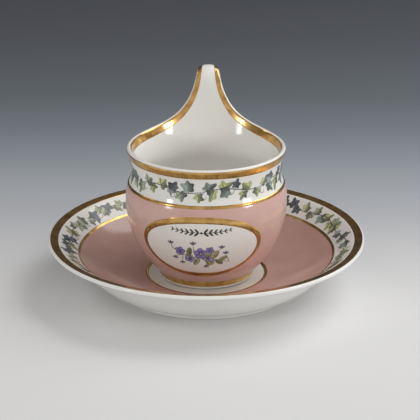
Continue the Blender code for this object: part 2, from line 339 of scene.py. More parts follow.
def make_piece(name, work, finish, body, stands_for=()):
    """Turns a finished bmesh into a smooth piece that rides on a body of the frame."""
    piece = mesh_object(name, work, finish)
    piece.data.shade_smooth()
    piece.data.set_sharp_from_angle(angle=SHARP_ANGLE)
    slot = SLOTS[finish.name]
    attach(piece, body)
    if stands_for:
        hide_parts(*stands_for)
    print(name, "has", len(piece.data.polygons), "faces, rides on", body, "and has the slot", slot)
    return piece


def bare_below(piece, height):
    """Leaves a piece unglazed below a height, where it stands on something."""
    piece.data.materials.append(biscuit)
    for polygon in piece.data.polygons:
        if polygon.center.z < height:
            polygon.material_index = 1


def spun(section, closed):
    """A section of radii and heights, spun round the Z axis."""
    work = bmesh.new()
    verts = [work.verts.new((point.x, 0.0, point.y)) for point in section]
    pairs = list(zip(verts, verts[1:]))
    if closed:
        pairs.append((verts[-1], verts[0]))
    edges = [work.edges.new(pair) for pair in pairs]
    bmesh.ops.spin(work, geom=verts + edges, cent=(0, 0, 0), axis=(0, 0, 1),
                   angle=2 * math.pi, steps=TURN_STEPS, use_merge=True)
    bmesh.ops.remove_doubles(work, verts=work.verts, dist=MERGE)
    bmesh.ops.recalc_face_normals(work, faces=work.faces)
    return work


def turned_band(name, glaze, axis, places, raised, fullness, finish):
    """A band between two radii or heights. A low fullness is a rounded line, a high one a flat coat."""
    start, end = (glaze.outline.reaching(place, axis) for place in places)
    shares = [step / BAND_STEPS for step in range(BAND_STEPS + 1)]
    section = []
    for share in shares:
        rise = raised * (1 - abs(2 * share - 1) ** fullness)
        section.append(glaze.section(start + (end - start) * share, rise))
    for share in reversed(shares):
        section.append(glaze.section(start + (end - start) * share, -SINK))
    return make_piece(name, spun(section, True), finish, glaze.body)


def grid(work, columns, rows):
    """Adds a flat grid and gives its points one by one, each with its shares across and along."""
    made = bmesh.ops.create_grid(work, x_segments=columns, y_segments=rows, size=0.5)
    for vert in made["verts"]:
        yield vert, vert.co.x + 0.5, vert.co.y + 0.5


# %% [markdown]
# ## The saucer
#
# The saucer is a deep dish with a flat round well for the cup. Its section runs from the middle of the
# well over the lip and back underneath, and the foot ring is part of the same line, because on the real
# dish it grows out of the underside with a small hollow curve. Below its edge the wall bends out into a
# flatter lip. Only the edge that the dish stands on is bare porcelain.

# %% Saucer porcelain
SAUCER_RADIUS = 0.0809
SAUCER_HEIGHT = 0.0270
SAUCER_WALL = 0.0020
LIP_TILT = math.radians(12)
LIP_REACH = 0.0034
LIP_POINTS = 12
LIP_TURNS = 10
BEND = Vector((0.0750, 0.0258))
BEND_TILT = math.radians(33)
BEND_REACH_IN = 0.0120
BEND_REACH_OUT = 0.0012
WELL_RADIUS = 0.0310
WELL_HEIGHT = 0.0060
WELL_STEP = 0.0004
WELL_STEP_WIDTH = 0.0010
WELL_POINTS = 6
FLOOR_TILT = math.radians(2)
FLOOR_REACH = 0.0240
FLOOR_POINTS = 40
BASE_RADIUS = 0.0500
BASE_HEIGHT = 0.0031
BASE_TILT = math.radians(14)
BASE_REACH = 0.0100
BASE_POINTS = 30
RING_RADIUS = 0.0478
RING_WIDTH = 0.0032
RING_ROUND = 0.0008
RING_ROUND_MIDDLE = RING_ROUND * 0.3
RING_BARE_HEIGHT = RING_ROUND * 0.5
RING_POINTS = 8

lip_round = SAUCER_WALL / 2
lip_middle = Vector((SAUCER_RADIUS - lip_round, SAUCER_HEIGHT - lip_round))
lip_top = lip_middle + toward(LIP_TILT + math.pi / 2, lip_round)
lip_under = lip_middle + toward(LIP_TILT - math.pi / 2, lip_round)
bend_under = BEND + toward(BEND_TILT - math.pi / 2, SAUCER_WALL)
well_edge = Vector((WELL_RADIUS - WELL_STEP_WIDTH, WELL_HEIGHT))
floor_edge = Vector((WELL_RADIUS, WELL_HEIGHT + WELL_STEP))
half_step = WELL_STEP_WIDTH / 2

lip_turn = [lip_middle + toward(LIP_TILT + math.pi * (0.5 - step / LIP_TURNS), lip_round)
            for step in range(LIP_TURNS + 1)]
saucer_line = Outline(
    [Vector((0.0, WELL_HEIGHT)), well_edge],
    bezier(well_edge, toward(0.0, half_step), toward(FLOOR_TILT, half_step), floor_edge, WELL_POINTS),
    bezier(floor_edge, toward(FLOOR_TILT, FLOOR_REACH), toward(BEND_TILT, BEND_REACH_IN),
           BEND, FLOOR_POINTS),
    bezier(BEND, toward(BEND_TILT, BEND_REACH_OUT), toward(LIP_TILT, LIP_REACH), lip_top, LIP_POINTS),
    lip_turn,
)
under = Outline(
    bezier(lip_under, toward(LIP_TILT, -LIP_REACH), toward(BEND_TILT, -BEND_REACH_OUT),
           bend_under, LIP_POINTS),
    bezier(bend_under, toward(BEND_TILT, -BEND_REACH_IN), toward(BASE_TILT, -BASE_REACH),
           Vector((BASE_RADIUS, BASE_HEIGHT)), BASE_POINTS),
).points
ring_inner = RING_RADIUS - RING_WIDTH
ring_outside = bezier(under[-1], toward(BASE_TILT, -BASE_RADIUS + RING_RADIUS),
                      Vector((0.0, -RING_ROUND)), Vector((RING_RADIUS, RING_ROUND)), RING_POINTS)
ring_edge = [
    Vector((RING_RADIUS - RING_ROUND_MIDDLE, RING_ROUND_MIDDLE)),
    Vector((RING_RADIUS - RING_ROUND, 0.0)),
    Vector((ring_inner + RING_ROUND, 0.0)),
    Vector((ring_inner + RING_ROUND_MIDDLE, RING_ROUND_MIDDLE)),
]
ring_inside = bezier(Vector((ring_inner, RING_ROUND)), Vector((0.0, RING_ROUND)),
                     Vector((-RING_ROUND, 0.0)), Vector((ring_inner - RING_WIDTH / 2, BASE_HEIGHT)),
                     RING_POINTS)
saucer_section = (saucer_line.points + under[1:] + list(ring_outside[1:]) + ring_edge
                  + list(ring_inside) + [Vector((0.0, BASE_HEIGHT))])

saucer_piece = make_piece("saucer_porcelain", spun(saucer_section, False), porcelain, "saucer",
                          ("saucer_dish", "saucer_foot_ring"))
bare_below(saucer_piece, RING_BARE_HEIGHT)

# %% [markdown]
# ## The saucer's ground and gilding
#
# Between the well and the painted border the dish is rose. A broad gold band runs inside the white lip,
# and thin gold lines edge the rose on both sides. Each is one band on the upper glaze, placed by its
# radius.

# %% Saucer bands
COAT = 0.00004
COAT_FULLNESS = 40
GILT = 0.00010
BAND_FULLNESS = 10
ROSE_RADII = (0.0312, 0.0652)
SAUCER_GOLD_RADII = {
    "saucer_gold_band": (0.0758, 0.0799),
    "saucer_border_line": (0.0646, 0.0659),
    "saucer_well_line": (0.0298, 0.0315),
}

saucer_glaze = Glaze("saucer", saucer_line, -1, 0.0)
turned_band("saucer_rose_ground", saucer_glaze, RADIUS, ROSE_RADII, COAT, COAT_FULLNESS, saucer_pink)
for name, radii in SAUCER_GOLD_RADII.items():
    turned_band(name, saucer_glaze, RADIUS, radii, GILT, BAND_FULLNESS, gold)

# %% [markdown]
# ## The cup's wall
#
# The cup's line climbs from under its middle over the belly, into the neck and out to the flared rim. At
# the back it goes on: up the raised lip and over into the handle. The front wall uses the same line and
# simply stops at the rim, so one function can place a point anywhere on the cup, inside or outside.

# %% Cup line
CUP_WALL = 0.0024
BOWL_BASE_RADIUS = 0.0254
BOWL_BASE_HEIGHT = 0.0042
BOWL_BASE_TILT = math.radians(42)
BOWL_BASE_REACH = 0.0105
BELLY = Vector((0.0410, 0.0408))
BELLY_REACH_DOWN = 0.0170
BELLY_REACH_UP = 0.0100
NECK = Vector((0.0379, 0.0558))
NECK_REACH_DOWN = 0.0065
NECK_REACH_UP = 0.0050
RIM = Vector((0.0404, 0.0680))
RIM_TILT = math.radians(72)
RIM_REACH = 0.0042
RAISED_WALL = 0.0032
RAISED_LEAN = Vector((0.0045, 0.0180))
RAISED_REACH = 0.0060
SHOULDER_TILT = math.radians(79)
SHOULDER_REACH = 0.0084
TIP_OFFSET = Vector((0.0172, 0.0218))
TIP_TILT = math.radians(-42)
TIP_REACH = 0.0078
RAISED_CROWN = 0.0015
TIP_WIDTH = 0.0046

up = Vector((0.0, 1.0))
base_edge = Vector((BOWL_BASE_RADIUS, BOWL_BASE_HEIGHT))
shoulder = RIM + RAISED_LEAN
tip = RIM + TIP_OFFSET
cup_line = Outline(
    [Vector((0.0, BOWL_BASE_HEIGHT)), base_edge],
    bezier(base_edge, toward(BOWL_BASE_TILT, BOWL_BASE_REACH), up * BELLY_REACH_DOWN, BELLY),
    bezier(BELLY, up * BELLY_REACH_UP, up * NECK_REACH_DOWN, NECK),
    bezier(NECK, up * NECK_REACH_UP, toward(RIM_TILT, RIM_REACH), RIM),
    bezier(RIM, toward(RIM_TILT, RAISED_REACH), toward(SHOULDER_TILT, RAISED_REACH), shoulder),
    bezier(shoulder, toward(SHOULDER_TILT, SHOULDER_REACH), toward(TIP_TILT, TIP_REACH), tip),
)
base_run = BOWL_BASE_RADIUS
neck_run = cup_line.reaching(NECK.y, HEIGHT)
rim_run = cup_line.reaching(RIM.y, HEIGHT)
tip_run = cup_line.length


def rise_of(along):
    """How far up the raised lip a place is, from 0 at the rim to 1 at the tip."""
    return max(0.0, (along - rim_run) / (tip_run - rim_run))


def wall_at(along):
    return CUP_WALL + (RAISED_WALL - CUP_WALL) * rise_of(along)


def cup_spot(rear_angle, along, share, raised=0.0):
    """A point of the cup's wall: share 0 is its outer side and 1 its inner side."""
    point = cup_line.at(along)
    width = point.x * math.sin(rear_angle)
    crown = RAISED_CROWN * (rise_of(along) * min(1.0, abs(width) / TIP_WIDTH)) ** 2
    point = point + cup_line.out(along) * (crown - wall_at(along) * share + raised)
    return Vector((point.x * math.sin(rear_angle), point.x * math.cos(rear_angle), point.y + seat_height))


print("the cup's wall is", round(rim_run, 4), "long to the rim and", round(tip_run, 4), "to the tip")

# %% [markdown]
# ## The cup's edge
#
# The edge starts at the lip's tip, sweeps down its side and runs round the rim to the front. It is found
# once, for one half, as evenly spaced stops. Each stop also knows which way leads straight in from the
# edge, and that is what both the rounded rim and the gold beside it need.

# %% Edge stops
SWEEP_WIDTH = 0.0180
WAIST_WIDTH = 0.0070
WAIST_RISE = 0.0070
SIDE_POINTS = 240
SIDE_STOPS = 70
RIM_STOPS = 44
EDGE_DEPTH = 0.0013


def evenly(points, count):
    """The same line with its points evenly spaced."""
    line = Outline(points)
    return [line.at(line.length * step / count) for step in range(count + 1)]


def unrolled(point):
    """Lays a place on the edge, given by its half width, flat: arc at the rim's radius, run."""
    sine = min(1.0, point.x / cup_line.at(point.y).x)
    return Vector((math.asin(sine) * RIM.x, point.y))


def edge_stops():
    """Angle from the rear, run, and the steps in angle and run for each metre in from the edge."""
    side = interpolate_bezier(Vector((TIP_WIDTH, tip_run)), Vector((WAIST_WIDTH, rim_run + WAIST_RISE)),
                              Vector((SWEEP_WIDTH, rim_run)), Vector((RIM.x, rim_run)), SIDE_POINTS)
    flat = evenly([unrolled(point) for point in side], SIDE_STOPS)
    for step in range(1, RIM_STOPS + 1):
        flat.append(Vector((math.pi / 2 * (1 + step / RIM_STOPS) * RIM.x, rim_run)))
    stops = []
    for index, place in enumerate(flat):
        radius = cup_line.at(place.y).x
        before = flat[max(index - 1, 0)]
        after = flat[min(index + 1, len(flat) - 1)]
        run = Vector(((after.x - before.x) * radius / RIM.x, after.y - before.y)).normalized()
        if index == 0:
            run = Vector((0.0, -1.0))
        stops.append((place.x / RIM.x, place.y, run.y / radius, -run.x))
    return stops


def in_from_edge(stop, distance, inner):
    """Angle, run and wall share of a place on the cup, a distance in from the edge's middle."""
    angle, along, angle_step, along_step = stop
    rounding = math.sqrt(1 - (1 - min(distance / EDGE_DEPTH, 1.0)) ** 2)
    share = 0.5 + (0.5 if inner else -0.5) * rounding
    return angle + angle_step * distance, along + along_step * distance, share


edge = edge_stops()
print("the half edge has", len(edge), "stops")

# %% [markdown]
# ## The cup's porcelain
#
# The bowl could be spun, but then its rim would be level. Instead a grid is wrapped round the cup by
# formula: columns go round, and rows climb the outer side, turn over the edge and go down the inner side.
# At the lip's tip the turned-over faces are taken out, which leaves an open ring, and the handle grows
# from that ring by extruding it along its line. So lip and strap are one skin, as on the fired cup.

# %% Bowl grid
TIP_PLACES = (0.0, 0.0008, 0.0016, 0.0024, 0.0029)
BASE_ROWS = 5
BELLY_ROWS = 34
NECK_ROWS = 34
ROW_CROWDING = 1.4
EDGE_TURNS = 8

side_rows = BASE_ROWS + BELLY_ROWS + NECK_ROWS
all_rows = 2 * side_rows + EDGE_TURNS
corner = len(TIP_PLACES)
half_columns = corner + len(edge) - 1


def wall_run(top, row):
    """The run of a row on a column that ends at the given run."""
    if row <= BASE_ROWS:
        return base_run * row / BASE_ROWS
    if row <= BASE_ROWS + BELLY_ROWS:
        return base_run + (neck_run - base_run) * (row - BASE_ROWS) / BELLY_ROWS
    share = (row - BASE_ROWS - BELLY_ROWS) / NECK_ROWS
    return neck_run + (top - neck_run) * (1 - (1 - share) ** ROW_CROWDING)


def bowl_spot(column, row):
    """Where a vertex of the grid goes, on the half with positive X."""
    inner = row > side_rows + EDGE_TURNS / 2
    level = all_rows - row if inner else row
    if column < corner:
        angle = math.asin(TIP_PLACES[column] / cup_line.at(tip_run).x)
        return cup_spot(angle, wall_run(tip_run, min(level, side_rows)), 1.0 if inner else 0.0)
    stop = edge[column - corner]
    if level <= side_rows:
        angle, top, share = in_from_edge(stop, EDGE_DEPTH, inner)
        return cup_spot(angle, wall_run(top, level), share)
    turn = math.pi / 2 * (1 - (level - side_rows) / (EDGE_TURNS / 2))
    distance = EDGE_DEPTH * (1 - math.cos(turn))
    return cup_spot(*in_from_edge(stop, distance, inner))


cup_work = bmesh.new()
row_mark = cup_work.verts.layers.int.new("row")
column_mark = cup_work.verts.layers.int.new("column")
for vert, across, along in grid(cup_work, 2 * half_columns, all_rows):
    column = round(across * 2 * half_columns) - half_columns
    row = round(along * all_rows)
    vert[row_mark] = row
    vert[column_mark] = column
    vert.co = bowl_spot(abs(column), row)
    if column < 0:
        vert.co.x = -vert.co.x


def at_open_tip(vert):
    return abs(vert[column_mark]) <= corner and side_rows <= vert[row_mark] <= side_rows + EDGE_TURNS


open_tip = [face for face in cup_work.faces if all(at_open_tip(vert) for vert in face.verts)]
bmesh.ops.delete(cup_work, geom=open_tip, context="FACES")
bmesh.ops.remove_doubles(cup_work, verts=cup_work.verts, dist=MERGE)
tip_ring = [each for each in cup_work.edges if each.is_boundary]
print("the bowl has", len(cup_work.faces), "faces, and the open tip", len(tip_ring), "edges")

# %% [markdown]
# ## The strap handle
#
# The strap leaves the tip, rolls over backwards, hangs down behind the cup and comes back to the belly.
# Its line is an Outline too. Each extruded ring keeps the shape of the tip's section at first and eases
# into a softly squared oval, and at the root it spreads like the slip that joins it to the wall.

# %% Handle from the tip
HANDLE_START_REACH = 0.0095
HANDLE_STAND_OFF = 0.0249
HANDLE_BACK_DROP = 0.0020
HANDLE_BACK_REACH_UP = 0.0110
HANDLE_BACK_REACH_DOWN = 0.0170
HANDLE_ROOT_HEIGHT = 0.0300
HANDLE_ROOT_REACH = 0.0160
TIP_HALF = Vector((TIP_WIDTH, RAISED_WALL / 2))
STRAP_HALF = Vector((0.0043, 0.0023))
ROOT_HALF = Vector((0.0054, 0.0026))
ROOT_SPREAD = Vector((0.0018, 0.0014))
ROOT_SPREAD_SHARE = 0.10
SQUARENESS = 2.6
STRAP_STEPS = 84
EASE_SHARE = 0.30

strap_start = tip - cup_line.out(tip_run) * (RAISED_WALL / 2)
strap_back = Vector((RIM.x + HANDLE_STAND_OFF, RIM.y - HANDLE_BACK_DROP))
root_run = cup_line.reaching(HANDLE_ROOT_HEIGHT, HEIGHT)
root_out = cup_line.out(root_run)
strap_root = cup_line.at(root_run) - root_out * (CUP_WALL / 2)
strap_line = Outline(
    bezier(strap_start, toward(TIP_TILT, HANDLE_START_REACH), up * -HANDLE_BACK_REACH_UP, strap_back),
    bezier(strap_back, up * -HANDLE_BACK_REACH_DOWN, root_out * -HANDLE_ROOT_REACH, strap_root),
)


def ease(share):
    share = min(max(share, 0.0), 1.0)
    return share * share * (3 - 2 * share)


def strap_half(share):
    """Half the strap's width and thickness at a share of its length."""
    if share < 0.5:
        return TIP_HALF.lerp(STRAP_HALF, ease(2 * share))
    spread = max(0.0, (share - 1 + ROOT_SPREAD_SHARE) / ROOT_SPREAD_SHARE) ** 2
    return STRAP_HALF.lerp(ROOT_HALF, ease(2 * share - 1)) + ROOT_SPREAD * spread


def strap_spot(share, shape):
    """Where a ring's point goes; shape is its place in the tip's section, as shares of half of it."""
    turn = math.atan2(shape.y, shape.x)
    fill = abs(math.cos(turn)) ** SQUARENESS + abs(math.sin(turn)) ** SQUARENESS
    oval = Vector((math.cos(turn), math.sin(turn))) * fill ** (-1 / SQUARENESS)
    place = shape.lerp(oval, ease(share / EASE_SHARE))
    half = strap_half(share)
    along = strap_line.length * share
    point = strap_line.at(along) - strap_line.out(along) * (place.y * half.y)
    return Vector((place.x * half.x, point.x, point.y + seat_height))


ring_mark = cup_work.verts.layers.int.new("ring")
shapes = [None]
for vert in {vert for each in tip_ring for vert in each.verts}:
    offset = Vector((vert.co.y, vert.co.z - seat_height)) - strap_start
    vert[ring_mark] = len(shapes)
    shapes.append(Vector((vert.co.x / TIP_HALF.x, -offset.dot(cup_line.out(tip_run)) / TIP_HALF.y)))

ring = tip_ring
for step in range(1, STRAP_STEPS + 1):
    made = bmesh.ops.extrude_edge_only(cup_work, edges=ring)["geom"]
    ring = [item for item in made if isinstance(item, bmesh.types.BMEdge)]
    for item in made:
        if isinstance(item, bmesh.types.BMVert):
            item.co = strap_spot(step / STRAP_STEPS, shapes[item[ring_mark]])
bmesh.ops.edgeloop_fill(cup_work, edges=ring)
bmesh.ops.recalc_face_normals(cup_work, faces=cup_work.faces)
print("the strap is", round(strap_line.length, 4), "long, in", STRAP_STEPS, "rings of", len(ring))

# %% [markdown]
# ## Gilding on the handle
#
# A gold line follows each edge of the strap on its outer face. The strap's skin already has columns of
# faces that run along its edges, so the lines are copies of those faces, lifted a hair and given a
# thickness.

# %% Handle gilding and the porcelain piece
GILDED_PLACES = (corner - 1, corner)
gilded_row = side_rows + EDGE_TURNS - 1


def sheets(work):
    """The groups of faces that hang together."""
    unseen = set(work.faces)
    while unseen:
        group = [unseen.pop()]
        for face in group:
            for other in (other for each in face.edges for other in each.link_faces):
                if other in unseen:
                    unseen.remove(other)
                    group.append(other)
        yield group


def thicken(work, outward):
    """Makes open sheets thin bodies, each turned as a whole to where outward points."""
    def facing(face):
        return face.normal.dot(outward(face.calc_center_median())) * face.calc_area()

    bmesh.ops.remove_doubles(work, verts=work.verts, dist=MERGE)
    bmesh.ops.recalc_face_normals(work, faces=work.faces)
    for sheet in list(sheets(work)):
        if sum(facing(face) for face in sheet) < 0:
            bmesh.ops.reverse_faces(work, faces=sheet)
    work.normal_update()
    bmesh.ops.solidify(work, geom=work.faces[:], thickness=SINK)
    bmesh.ops.recalc_face_normals(work, faces=work.faces)


def outside_cup(place):
    return Vector((place.x, place.y, 0.0))


def behind_strap(place):
    return Vector((place.x, place.y - strap_start.x, place.z - seat_height - strap_back.y))


def on_gilded_line(vert):
    return vert[ring_mark] and abs(vert[column_mark]) in GILDED_PLACES and vert[row_mark] >= gilded_row


cup_work.normal_update()
strap_gilding = cup_work.copy()
ring_mark = strap_gilding.verts.layers.int["ring"]
row_mark = strap_gilding.verts.layers.int["row"]
column_mark = strap_gilding.verts.layers.int["column"]
plain = [face for face in strap_gilding.faces if not all(on_gilded_line(vert) for vert in face.verts)]
bmesh.ops.delete(strap_gilding, geom=plain, context="FACES")
for vert in strap_gilding.verts:
    vert.co += vert.normal * GILT
thicken(strap_gilding, behind_strap)
make_piece("handle_gilding", strap_gilding, gold, "cup")
make_piece("cup_porcelain", cup_work, porcelain, "cup", ("cup_bowl", "cup_handle"))

# %% [markdown]
# ## Gold beside the edge
#
# A white edge is left bare for the drinker's lip, and beside it a gold band follows the edge on both
# sides of the wall, narrowing as the raised lip narrows. A spun band can't follow an edge that climbs, so
# these are grids whose columns start at the edge's stops and run straight in from them. Where a band
# starts and where it ends is given as distances from the edge, each at the rim and at the lip's tip.

# %% Edge gilding
EDGE_BAND_ROWS = 8
EDGE_BAND_NARROWING = 0.6
INSIDE_GOLD_START = (0.0005, 0.0003)
INSIDE_GOLD_END = (0.0048, 0.0020)
OUTSIDE_GOLD_START = (0.0005, 0.0005)
OUTSIDE_GOLD_END = (0.0044, 0.0023)


def edge_gilding(name, inner, near, far):
    work = bmesh.new()
    last = len(edge) - 1
    side = -1 if inner else 1
    for vert, across, along in grid(work, 2 * last, EDGE_BAND_ROWS):
        column = round(across * 2 * last) - last
        stop = edge[last - abs(column)]
        rise = rise_of(stop[1]) ** EDGE_BAND_NARROWING
        start = near[0] + (near[1] - near[0]) * rise
        end = far[0] + (far[1] - far[0]) * rise
        place = in_from_edge(stop, start + (end - start) * along, inner)
        height = COAT + (GILT - COAT) * (1 - abs(2 * along - 1) ** BAND_FULLNESS)
        vert.co = cup_spot(*place, side * height)
        if column < 0:
            vert.co.x = -vert.co.x
    thicken(work, lambda place: outside_cup(place) * side)
    return make_piece(name, work, gold, "cup")


edge_gilding("rim_gilding_inside", True, INSIDE_GOLD_START, INSIDE_GOLD_END)
edge_gilding("rim_gilding_outside", False, OUTSIDE_GOLD_START, OUTSIDE_GOLD_END)

# %% [markdown]
# ## The cup's foot
#
# A low turned ring lifts the bowl. It is a closed section of its own, with a hollow curve that runs out
# into the bowl, and gold covers all of it that shows except for a narrow white edge above the saucer.

# %% Foot and its gilding
FOOT_RADIUS = 0.0244
FOOT_WIDTH = 0.0050
FOOT_ROUND = 0.0005
FOOT_BARE_HEIGHT = FOOT_ROUND * 0.2
FOOT_FLARE = 0.0006
FOOT_TOP = 0.0052
COVE_HEIGHT = 0.0051
COVE_REACH = 0.0020
COVE_POINTS = 24
FOOT_GOLD_HEIGHTS = (0.0012, 0.0048)
FOOT_ROSE_HEIGHTS = (0.0047, 0.0050)

foot_inner = FOOT_RADIUS - FOOT_WIDTH
cove_end = cup_line.at(cup_line.reaching(COVE_HEIGHT, HEIGHT))
foot_line = Outline(bezier(Vector((FOOT_RADIUS, FOOT_ROUND)), up * COVE_REACH,
                           toward(BOWL_BASE_TILT, COVE_REACH), cove_end, COVE_POINTS))
foot_section = foot_line.points + [
    Vector((cove_end.x - FOOT_FLARE, FOOT_TOP)),
    Vector((foot_inner - FOOT_FLARE, FOOT_TOP)),
    Vector((foot_inner, FOOT_ROUND)),
    Vector((foot_inner + FOOT_ROUND, 0.0)),
    Vector((FOOT_RADIUS - FOOT_ROUND, 0.0)),
]
foot_section = [point + up * seat_height for point in foot_section]
foot_piece = make_piece("cup_foot", spun(foot_section, True), porcelain, "cup", ("cup_foot_ring",))
bare_below(foot_piece, seat_height + FOOT_BARE_HEIGHT)

foot_glaze = Glaze("cup", foot_line, 1, seat_height)
turned_band("foot_gilding", foot_glaze, HEIGHT, FOOT_GOLD_HEIGHTS, GILT, BAND_FULLNESS, gold)
turned_band("foot_rose_ground", foot_glaze, HEIGHT, FOOT_ROSE_HEIGHTS, COAT, COAT_FULLNESS, cup_pink)

# %% [markdown]
# ## Rose ground round a white reserve
#
# The ground covers the belly but leaves an oval reserve in front for the painting. Its mesh is a ring of
# columns that join the oval to a rectangle on the front of the belly, and a plain strip that carries on
# round the back. The oval is given as angles and heights, which are easy to measure on a round wall.

# %% The oval reserve
RESERVE_TURN = math.radians(-2.9)
RESERVE_HALF_ANGLE = math.radians(47)
RESERVE_MIDDLE = 0.02730
RESERVE_HALF_HEIGHT = 0.01775
FRAME_TOP_WIDTH = 0.0034
FRAME_SLIM_WIDTH = 0.0018
FRAME_FOOT_GAIN = 0.0011
FRAME_FOOT_CROWDING = 8
TOP_FULLNESS = 2.05
BOTTOM_FULLNESS = 2.0

cup_glaze = Glaze("cup", cup_line, 1, seat_height)


def frame_width(turn):
    """The frame is broad at its top, slims down along its sides and broadens again at its foot."""
    top_share = 0.5 + 0.5 * math.sin(turn)
    width = FRAME_SLIM_WIDTH + (FRAME_TOP_WIDTH - FRAME_SLIM_WIDTH) * top_share
    return width + FRAME_FOOT_GAIN * max(0.0, -math.sin(turn)) ** FRAME_FOOT_CROWDING


def oval_place(turn, share):
    """Angle and run of a place on the oval's frame, from share 0 at its outside to 1 at its inside."""
    inset = share * frame_width(turn)
    fullness = TOP_FULLNESS if math.sin(turn) > 0 else BOTTOM_FULLNESS
    across = math.copysign(abs(math.cos(turn)) ** (2 / fullness), math.cos(turn))
    upward = math.copysign(abs(math.sin(turn)) ** (2 / fullness), math.sin(turn))
    angle = across * (RESERVE_HALF_ANGLE - inset / BELLY.x)
    height = RESERVE_MIDDLE + upward * (RESERVE_HALF_HEIGHT - inset)
    return Vector((angle, cup_line.reaching(height, HEIGHT)))


reserve_width = 2 * RESERVE_HALF_ANGLE * BELLY.x
print("the oval is", round(reserve_width, 4), "wide and", 2 * RESERVE_HALF_HEIGHT, "high")

# %% Rose ground on the cup
GROUND_HEIGHTS = (0.0048, 0.0494)
GROUND_FRONT = math.radians(80)
GROUND_UNDER_FRAME = 0.5
GROUND_SIDE_STEPS = 26
GROUND_TOP_STEPS = 60
GROUND_RINGS = 16
GROUND_BACK_STEPS = 90


def round_the_square():
    """Places round a square from -1 to 1, anticlockwise."""
    corners = [Vector((-1, -1)), Vector((1, -1)), Vector((1, 1)), Vector((-1, 1)), Vector((-1, -1))]
    places = []
    for index, steps in enumerate((GROUND_TOP_STEPS, GROUND_SIDE_STEPS) * 2):
        places += [corners[index].lerp(corners[index + 1], step / steps) for step in range(steps)]
    return places + [corners[0]]


def cup_rose():
    low, high = (cup_line.reaching(height, HEIGHT) for height in GROUND_HEIGHTS)
    work = bmesh.new()
    square = round_the_square()
    last = len(square) - 1
    for vert, across, along in grid(work, last, GROUND_RINGS):
        place = square[round(across * last)]
        rectangle = Vector((place.x * GROUND_FRONT, low + (high - low) * (place.y + 1) / 2))
        oval = oval_place(math.atan2(place.y, place.x), GROUND_UNDER_FRAME)
        laid = oval.lerp(rectangle, along)
        vert.co = cup_glaze.spot(laid.x + RESERVE_TURN, laid.y, COAT)
    for vert, across, along in grid(work, GROUND_BACK_STEPS, GROUND_SIDE_STEPS):
        angle = math.pi + (2 * across - 1) * (math.pi - GROUND_FRONT)
        vert.co = cup_glaze.spot(angle + RESERVE_TURN, low + (high - low) * along, COAT)
    thicken(work, outside_cup)
    return make_piece("cup_rose_ground", work, cup_pink, "cup")


cup_rose()

# %% [markdown]
# ## The reserve's frame and the shoulder line
#
# A gold frame hides the edge of the ground round the oval, and a rounded gold line marks the shoulder,
# where the rose belly meets the white neck. Both stand a little proud, so that they catch the light.

# %% Frame and shoulder line
FRAME_RISE = 0.00018
FRAME_FULLNESS = 3
FRAME_COLUMNS = 200
FRAME_ROWS = 8
SHOULDER_HEIGHTS = (0.0486, 0.0502)
SHOULDER_RISE = 0.00030
SHOULDER_FULLNESS = 2.2


def oval_frame():
    work = bmesh.new()
    for vert, across, along in grid(work, FRAME_COLUMNS, FRAME_ROWS):
        laid = oval_place((2 * across - 1) * math.pi, along)
        height = COAT + FRAME_RISE * (1 - abs(2 * along - 1) ** FRAME_FULLNESS)
        vert.co = cup_glaze.spot(laid.x + RESERVE_TURN, laid.y, height)
    thicken(work, outside_cup)
    return make_piece("oval_frame", work, gold, "cup")


oval_frame()
turned_band("shoulder_line", cup_glaze, HEIGHT, SHOULDER_HEIGHTS, SHOULDER_RISE, SHOULDER_FULLNESS, gold)

# %% [markdown]
# ## A painter's hand
#
# Enamel painting could be a texture, but here every leaf, petal and stroke is a small patch of mesh
# wrapped onto the glaze. That keeps its edge crisp from any distance. A Painter holds one painting: it
# lays patches given in flat metres, across and up from a middle point, and writes each vertex's colour
# into the attribute that the enamel finish reads. Patches take turns at a few heights a hair apart, so
# that neighbours that overlap don't lie in the same place.

# %% Painter
ENAMEL = 0.00005
LAYER_STEP = 0.000012
LAYERS = 9
BLOB_COLUMNS = 30
BLOB_ROWS = 3
STROKE_TIP = 0.25
STROKE_LEAD = 0.15


def heading_to(turn):
    """A step of length 1 in a direction, given as a turn from straight up towards the right."""
    return Vector((math.sin(turn), math.cos(turn)))


